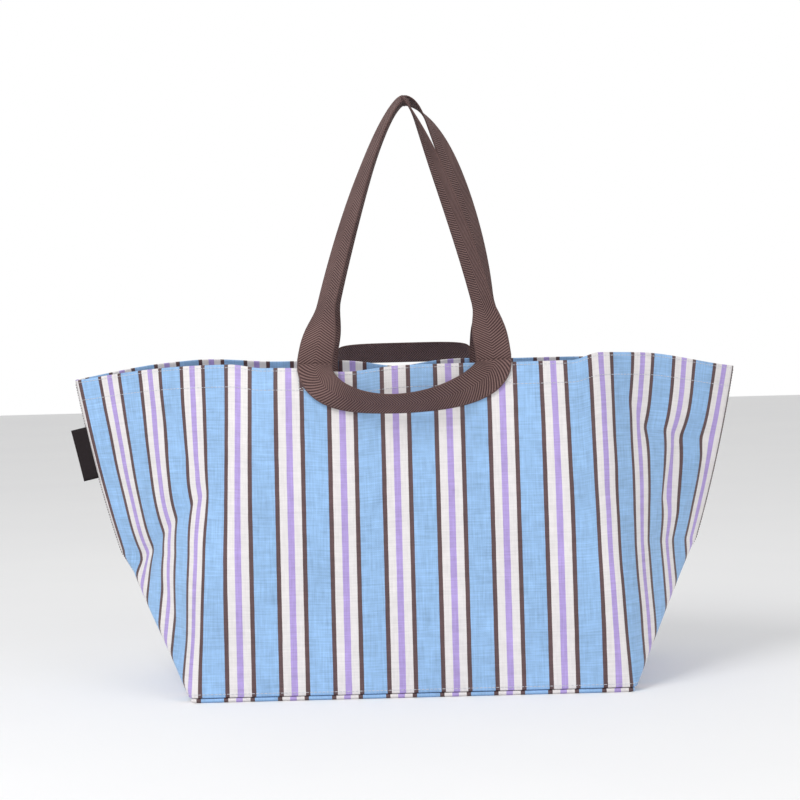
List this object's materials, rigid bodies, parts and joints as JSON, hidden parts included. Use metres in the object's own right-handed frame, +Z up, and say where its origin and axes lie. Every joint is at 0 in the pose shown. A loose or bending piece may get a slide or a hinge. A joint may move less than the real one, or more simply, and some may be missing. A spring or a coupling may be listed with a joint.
{
  "type": "tote bag",
  "caption": "Extra-large open-top striped tote bag of woven fabric, with a pair of long webbing shoulder handles and a pair of short hand loops.",
  "frame": {"origin": "centre of the base panel's underside, on the surface that the bag stands on", "axes": "+X to the right along the long side as seen from the front, +Y to the back, +Z up"},
  "size_m": [0.7345, 0.3468, 0.6391],
  "materials": {
    "woven_fabric": "semi-gloss woven polypropylene, striped blue, brown, off-white and lilac",
    "webbing": "matte herringbone webbing, brown",
    "binding_tape": "matte grosgrain tape, dark brown",
    "thread": "satin polyester thread, pale grey",
    "seam_thread": "satin polyester thread, near black",
    "label_fabric": "satin woven label, near black, blank"
  },
  "bodies": {
    "bag": {"base_panel": "woven_fabric", "front_panel": "woven_fabric", "back_panel": "woven_fabric", "front_rim_hem": "woven_fabric", "back_rim_hem": "woven_fabric", "left_seam_binding": "binding_tape", "right_seam_binding": "binding_tape", "base_seam_binding": "binding_tape", "front_rim_stitching": "thread", "back_rim_stitching": "thread", "left_seam_stitching": "seam_thread", "right_seam_stitching": "seam_thread", "base_seam_stitching": "thread", "front_left_box_stitching": "thread", "front_right_box_stitching": "thread", "back_left_box_stitching": "thread", "back_right_box_stitching": "thread", "long_handle_front_ends": "webbing", "long_handle_back_ends": "webbing", "short_handle_front_ends": "webbing", "short_handle_back_ends": "webbing", "side_label_tail": "label_fabric"},
    "long_handle_front_loop": {"long_handle_front": "webbing"},
    "long_handle_back_loop": {"long_handle_back": "webbing"},
    "short_handle_front_loop": {"short_handle_front": "webbing"},
    "short_handle_back_loop": {"short_handle_back": "webbing"},
    "label": {"side_label": "label_fabric"}
  },
  "joints": [
    {"name": "long_handle_front_flop", "type": "hinge", "parent": "bag", "child": "long_handle_front_loop", "pos_m": [0, -0.10831, 0.354], "axis": [1, 0, 0], "range_deg": [0, 100]},
    {"name": "long_handle_back_flop", "type": "hinge", "parent": "bag", "child": "long_handle_back_loop", "pos_m": [0, 0.10831, 0.354], "axis": [-1, 0, 0], "range_deg": [0, 65]},
    {"name": "short_handle_front_lift", "type": "hinge", "parent": "bag", "child": "short_handle_front_loop", "pos_m": [0, -0.11653, 0.34769], "axis": [1, 0, 0], "range_deg": [-105, 0]},
    {"name": "short_handle_back_lift", "type": "hinge", "parent": "bag", "child": "short_handle_back_loop", "pos_m": [0, 0.11653, 0.34769], "axis": [-1, 0, 0], "range_deg": [-70, 65]},
    {"name": "side_label_flap", "type": "hinge", "parent": "bag", "child": "label", "pos_m": [-0.34269, 0, 0.22376], "axis": [-0.219, 0, 0.9757], "range_deg": [-90, 90]}
  ]
}
